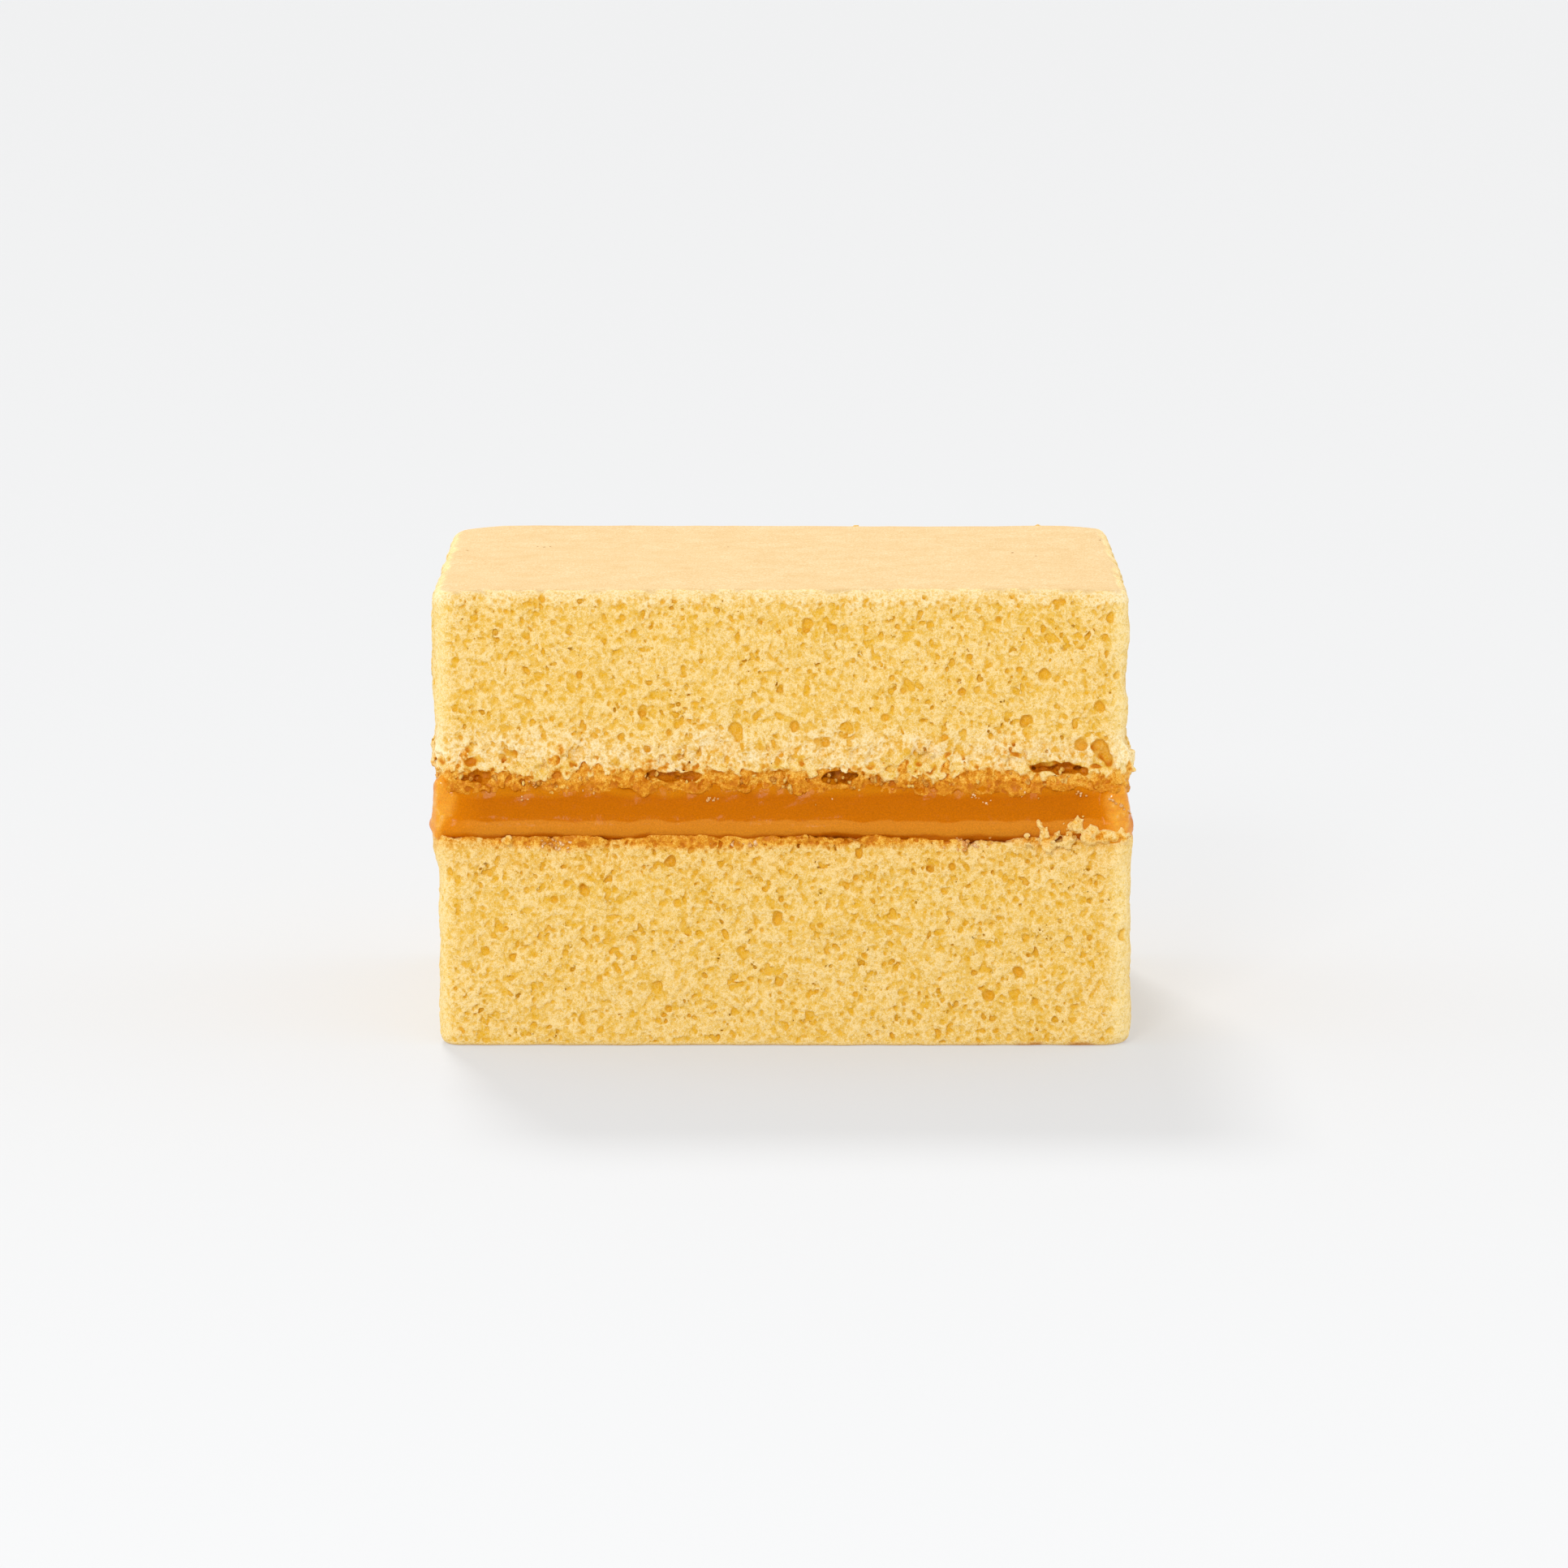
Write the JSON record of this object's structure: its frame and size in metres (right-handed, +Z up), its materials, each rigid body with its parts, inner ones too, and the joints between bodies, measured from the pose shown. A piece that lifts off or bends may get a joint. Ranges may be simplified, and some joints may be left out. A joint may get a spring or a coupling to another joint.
{
  "type": "chiffon cake",
  "caption": "Rectangular piece of pale yellow chiffon cake: a lower and an upper sponge layer with an open crumb and a caramel filling between them.",
  "frame": {"origin": "middle of the underside, on the surface the cake rests on", "axes": "+Z up through the layers, +X to the right along the long side, -Y out of the front face"},
  "size_m": [0.0908, 0.0728, 0.0597],
  "materials": {
    "sponge_crumb": "matt open crumb",
    "caramel": "soft gloss"
  },
  "bodies": {
    "root": {"sponge_bottom": "sponge_crumb", "caramel_filling": "caramel", "sponge_top": "sponge_crumb"}
  },
  "joints": []
}
